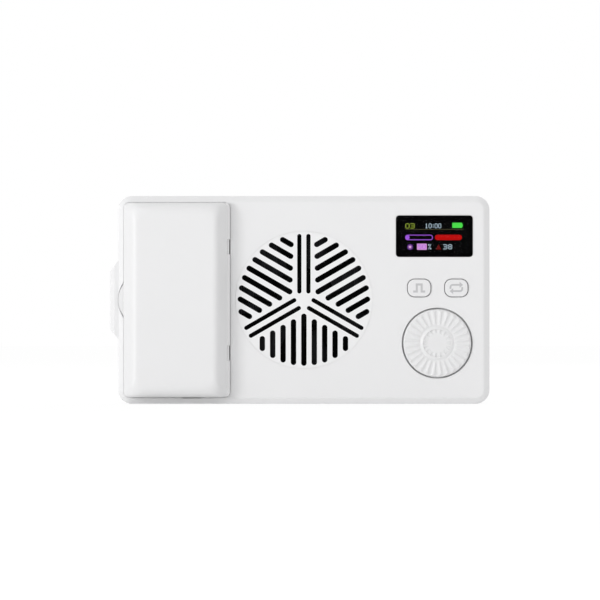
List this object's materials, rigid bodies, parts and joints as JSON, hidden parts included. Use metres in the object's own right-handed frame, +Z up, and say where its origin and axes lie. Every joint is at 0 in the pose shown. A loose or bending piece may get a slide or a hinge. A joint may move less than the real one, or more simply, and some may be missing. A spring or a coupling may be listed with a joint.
{
  "type": "light therapy panel",
  "caption": "Hand-held light therapy panel: lamp face with round lenses, rear with hinged battery hood, fan grille, screen, push keys and fluted knob.",
  "frame": {"origin": "middle of the flat underside of the case, on the surface it stands on", "axes": "+X to the right seen from the control side, +Y from the control side to the lamps, +Z up"},
  "size_m": [0.137, 0.0416, 0.075],
  "materials": {
    "shell_white": "fine satin moulded texture",
    "key_white": "satin moulded",
    "window_black": "polished black",
    "screen_glass": "polished",
    "black_plastic": "moulded",
    "steel": "plated",
    "nickel": "bright plated",
    "brass": "turned",
    "copper": "enamelled windings",
    "sink_aluminium": "extruded",
    "lamp_board_white": "white coating on aluminium",
    "board_green": "coated board",
    "lens_clear": "polished clear moulding",
    "emitter_yellow": "clear resin over phosphor",
    "cell_wrap": "shrink sleeve"
  },
  "bodies": {
    "housing": {"rear_shell": "shell_white", "front_bezel": "shell_white", "fan_grille": "shell_white", "display_window": "window_black", "display_module": "screen_glass", "fan_frame": "black_plastic", "display_frame": "black_plastic", "lens_holders": "black_plastic", "mode_switch": "black_plastic", "cycle_switch": "black_plastic", "encoder_body": "black_plastic", "case_screws": "steel", "fan_screws": "steel", "board_screws": "steel", "led_board_screws": "steel", "hinge_pin": "steel", "usb_port": "steel", "series_contact": "nickel", "terminal_contacts": "nickel", "fan_bush": "brass", "encoder_bush": "brass", "fan_stator": "copper", "heat_sink": "sink_aluminium", "led_board": "lamp_board_white", "control_board": "board_green", "led_lenses": "lens_clear", "led_emitters": "emitter_yellow", "battery_cell_left": "cell_wrap", "battery_cell_right": "cell_wrap"},
    "battery_door": {"battery_cover": "shell_white"},
    "mode_key": {"mode_button": "key_white", "mode_plunger": "black_plastic"},
    "cycle_key": {"cycle_button": "key_white", "cycle_plunger": "black_plastic"},
    "knob_push": {"encoder_plunger": "black_plastic"},
    "knob": {"knob_cap": "key_white", "encoder_shaft": "steel"},
    "fan_wheel": {"fan_rotor": "black_plastic", "fan_shaft": "steel"}
  },
  "joints": [
    {"name": "door_hinge", "type": "hinge", "parent": "housing", "child": "battery_door", "pos_m": [-0.0276, -0.0185, 0.0375], "axis": [0, 0, 1], "range_deg": [0, 90]},
    {"name": "knob_press", "type": "slide", "parent": "housing", "child": "knob_push", "axis": [0, 1, 0], "range_m": [0, 0.0005], "stiffness_N_per_m": 4000},
    {"name": "knob_turn", "type": "hinge", "parent": "knob_push", "child": "knob", "pos_m": [0.0481, -0.0185, 0.0219], "axis": [0, 1, 0], "continuous": true},
    {"name": "mode_press", "type": "slide", "parent": "housing", "child": "mode_key", "axis": [0, 1, 0], "range_m": [0, 0.0005], "stiffness_N_per_m": 2000},
    {"name": "cycle_press", "type": "slide", "parent": "housing", "child": "cycle_key", "axis": [0, 1, 0], "range_m": [0, 0.0005], "stiffness_N_per_m": 2000},
    {"name": "fan_spin", "type": "hinge", "parent": "housing", "child": "fan_wheel", "pos_m": [0, -0.0098, 0.0375], "axis": [0, 1, 0], "continuous": true}
  ]
}
